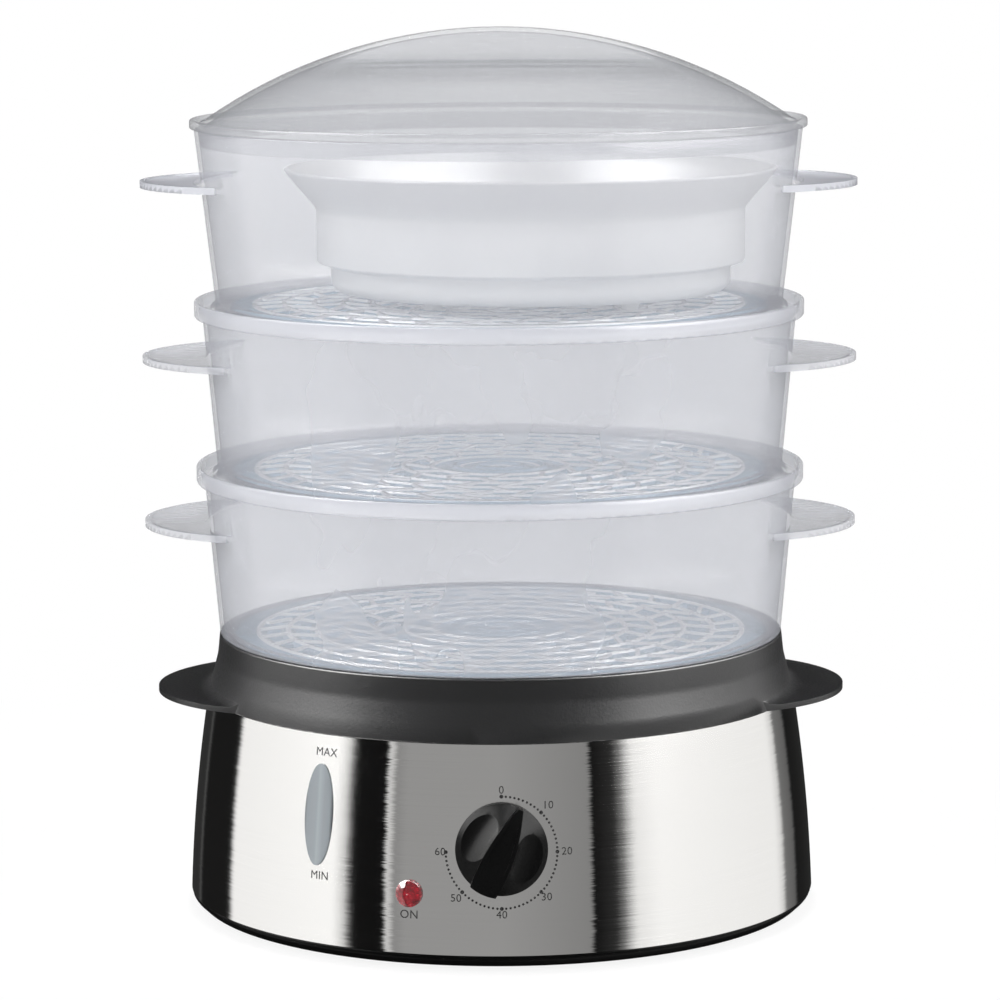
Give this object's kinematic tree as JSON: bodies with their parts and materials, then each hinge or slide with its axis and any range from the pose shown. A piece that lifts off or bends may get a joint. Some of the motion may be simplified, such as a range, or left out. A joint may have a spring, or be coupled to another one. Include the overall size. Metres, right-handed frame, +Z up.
{
  "type": "electric food steamer",
  "caption": "Electric food steamer: round steel-banded base with water tank and timer knob, stacked clear baskets with side tabs, a rice bowl and a domed lid with an arched grip.",
  "frame": {"origin": "on the axis of the stack, at the level of the feet", "axes": "+Z up the stack; -Y is the front with the timer knob; +X is to the right seen from the front, through one row of tab handles"},
  "size_m": [0.326, 0.3101, 0.402],
  "materials": {
    "black_moulding": "satin",
    "black_skirt": "satin",
    "steel": "horizontal brushing",
    "clear_basket": "milky clear",
    "clear_floor": "clear, wet",
    "clear_lid": "clear gloss",
    "white_bowl": "smooth",
    "rubber": "matt",
    "knob_black": "satin",
    "lens_red": "clear red gloss",
    "gauge_clear": "smoked clear",
    "white_inner": "plain",
    "seal": "silicone",
    "aluminium": "turned",
    "zinc_steel": "zinc plated",
    "brass": "plain",
    "glass": "clear",
    "lead_insulation": "soft"
  },
  "bodies": {
    "base": {"rubber_feet": "rubber", "bottom_cover": "black_skirt", "cover_screws": "zinc_steel", "steel_band": "steel", "rear_panel": "black_moulding", "upper_housing": "black_moulding", "water_tank": "black_moulding", "gauge_window": "gauge_clear", "gauge_seal": "seal", "gauge_chamber": "gauge_clear", "gauge_tube": "seal", "heater_plate": "aluminium", "heater_seal": "seal", "heater_clamp_ring": "zinc_steel", "heater_screws": "zinc_steel", "heater_coil": "zinc_steel", "thermostat": "brass", "thermal_fuse": "glass", "timer_case": "white_inner", "timer_nut": "zinc_steel", "timer_bell": "brass", "indicator_lens": "lens_red", "lamp_holder": "white_inner", "lamp_bulb": "glass", "cord_gland": "black_moulding", "gland_nut": "black_moulding", "cord_clamp": "white_inner", "terminal_block": "white_inner", "lead_live": "lead_insulation", "lead_switched": "lead_insulation", "lead_neutral": "lead_insulation"},
    "knob": {"timer_shaft": "zinc_steel", "timer_knob": "knob_black"},
    "sleeve": {"steam_sleeve": "white_inner"},
    "tray": {"drip_tray": "white_inner"},
    "lower_tier": {"lower_basket": "clear_basket", "lower_floor_grid": "clear_floor"},
    "middle_tier": {"middle_basket": "clear_basket", "middle_floor_grid": "clear_floor"},
    "top_tier": {"top_basket": "clear_basket", "top_floor_grid": "clear_floor"},
    "bowl": {"rice_bowl": "white_bowl"},
    "cover": {"lid": "clear_lid"}
  },
  "joints": [
    {"name": "timer_turn", "type": "hinge", "parent": "base", "child": "knob", "pos_m": [0, -0.14069, 0.0543], "axis": [0, -0.995, 0.0997], "range_deg": [-245, 25]},
    {"name": "sleeve_lift", "type": "slide", "parent": "base", "child": "sleeve", "axis": [0, 0, 1], "range_m": [0, 0.11]},
    {"name": "tray_lift", "type": "slide", "parent": "sleeve", "child": "tray", "axis": [0, 0, 1], "range_m": [0, 0.04]},
    {"name": "lower_basket_lift", "type": "slide", "parent": "tray", "child": "lower_tier", "axis": [0, 0, 1], "range_m": [0, 0.06]},
    {"name": "middle_basket_lift", "type": "slide", "parent": "lower_tier", "child": "middle_tier", "axis": [0, 0, 1], "range_m": [0, 0.06]},
    {"name": "top_basket_lift", "type": "slide", "parent": "middle_tier", "child": "top_tier", "axis": [0, 0, 1], "range_m": [0, 0.06]},
    {"name": "bowl_lift", "type": "slide", "parent": "top_tier", "child": "bowl", "axis": [0, 0, 1], "range_m": [0, 0.09]},
    {"name": "lid_lift", "type": "slide", "parent": "bowl", "child": "cover", "axis": [0, 0, 1], "range_m": [0, 0.06]}
  ]
}
